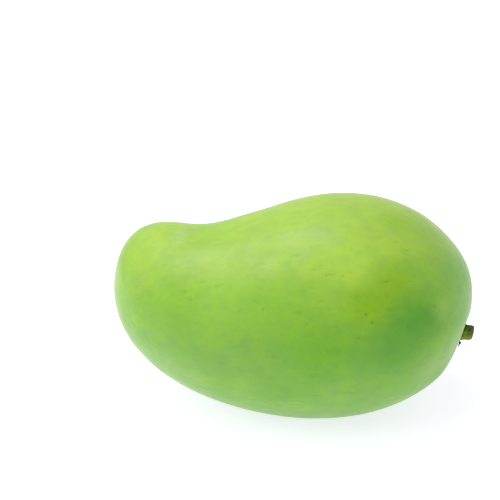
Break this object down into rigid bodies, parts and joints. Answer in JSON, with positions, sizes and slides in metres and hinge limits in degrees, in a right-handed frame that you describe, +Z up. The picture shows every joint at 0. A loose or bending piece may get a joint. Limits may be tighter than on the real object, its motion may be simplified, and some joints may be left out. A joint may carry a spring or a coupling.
{
  "type": "mango",
  "caption": "Whole unripe green mango lying on its side, with a hollow near its blunt tip and a short stub of woody stalk.",
  "frame": {"origin": "middle of the small flat spot under the fruit, on the surface that it rests on", "axes": "+Z up; +X along the fruit from its tip to its stem end; +Y to the side that the belly leans to, away from the picture's camera"},
  "size_m": [0.1407, 0.0865, 0.0827],
  "materials": {
    "skin": "smooth waxy fruit skin, satin, yellow-green at the tip and deeper green at the back, with fine pale pores",
    "stalk": "rough woody stalk, olive brown, with a dry grey-brown cut end"
  },
  "bodies": {
    "root": {"fruit": "skin", "stem": "stalk"}
  },
  "joints": []
}
